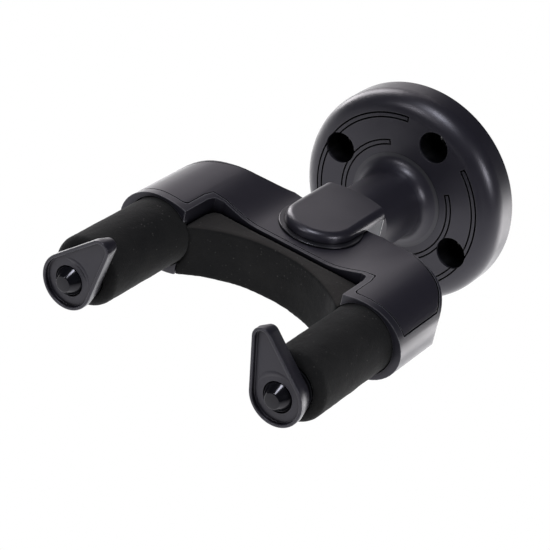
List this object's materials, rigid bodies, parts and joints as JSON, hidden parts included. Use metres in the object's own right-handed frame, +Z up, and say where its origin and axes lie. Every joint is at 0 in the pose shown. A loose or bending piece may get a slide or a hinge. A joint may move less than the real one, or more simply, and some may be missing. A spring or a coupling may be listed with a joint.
{
  "type": "wall guitar hanger",
  "caption": "Wall-mounted guitar hanger: round wall plate, swivelling neck, pivoting yoke with foam-covered prongs and a teardrop latch on the end of each prong.",
  "frame": {"origin": "centre of the wall plate's back face, on the axis of the swivelling neck", "axes": "+Z up, +Y into the wall, +X to the right seen from the front; the prongs point towards -Y"},
  "size_m": [0.1052, 0.1417, 0.0742],
  "materials": {
    "black_plastic": "satin black moulded plastic with a faint violet cast",
    "cover_plastic": "satin black moulded plastic, very slightly lighter than the frame",
    "white_plastic": "natural acetal",
    "washer_plastic": "smooth black nylon",
    "glossy_cap": "polished black cap",
    "dark_screws": "black oxide steel",
    "steel": "zinc plated steel",
    "brass": "turned brass",
    "foam": "matte black closed-cell foam with fine pores"
  },
  "bodies": {
    "wall_base": {"wall_plate": "black_plastic", "back_plate": "steel", "friction_ring": "white_plastic", "swivel_bush": "brass"},
    "neck": {"neck": "black_plastic", "fork_pad": "white_plastic", "swivel_washer": "steel", "swivel_screw": "steel", "pivot_pin": "steel", "pin_plug": "black_plastic", "pivot_washers": "washer_plastic"},
    "yoke": {"yoke_frame": "black_plastic", "top_cover": "cover_plastic", "bottom_cover": "cover_plastic", "cover_screws": "dark_screws", "pivot_bush": "brass", "tube_pins": "steel", "tube_left": "steel", "tube_right": "steel", "sleeve_left": "foam", "sleeve_right": "foam", "cradle_pad": "foam", "end_plug_left": "washer_plastic", "end_plug_right": "washer_plastic", "latch_screw_left": "steel", "latch_screw_right": "steel", "latch_washer_left": "dark_screws", "latch_washer_right": "dark_screws"},
    "latch_left": {"latch_left": "black_plastic", "button_left": "glossy_cap"},
    "latch_right": {"latch_right": "black_plastic", "button_right": "glossy_cap"}
  },
  "joints": [
    {"name": "neck_swivel", "type": "hinge", "parent": "wall_base", "child": "neck", "pos_m": [0, 0, 0], "axis": [0, 1, 0], "continuous": true},
    {"name": "yoke_pivot", "type": "hinge", "parent": "neck", "child": "yoke", "pos_m": [0, -0.0615, 0.0016], "axis": [0, 0, 1], "range_deg": [-28, 28]},
    {"name": "latch_left_turn", "type": "hinge", "parent": "yoke", "child": "latch_left", "pos_m": [-0.038, -0.1342, 0.0016], "axis": [0, 1, 0], "range_deg": [-31, 59]},
    {"name": "latch_right_turn", "type": "hinge", "parent": "yoke", "child": "latch_right", "pos_m": [0.038, -0.1342, 0.0016], "axis": [0, -1, 0], "range_deg": [-27, 63]}
  ]
}
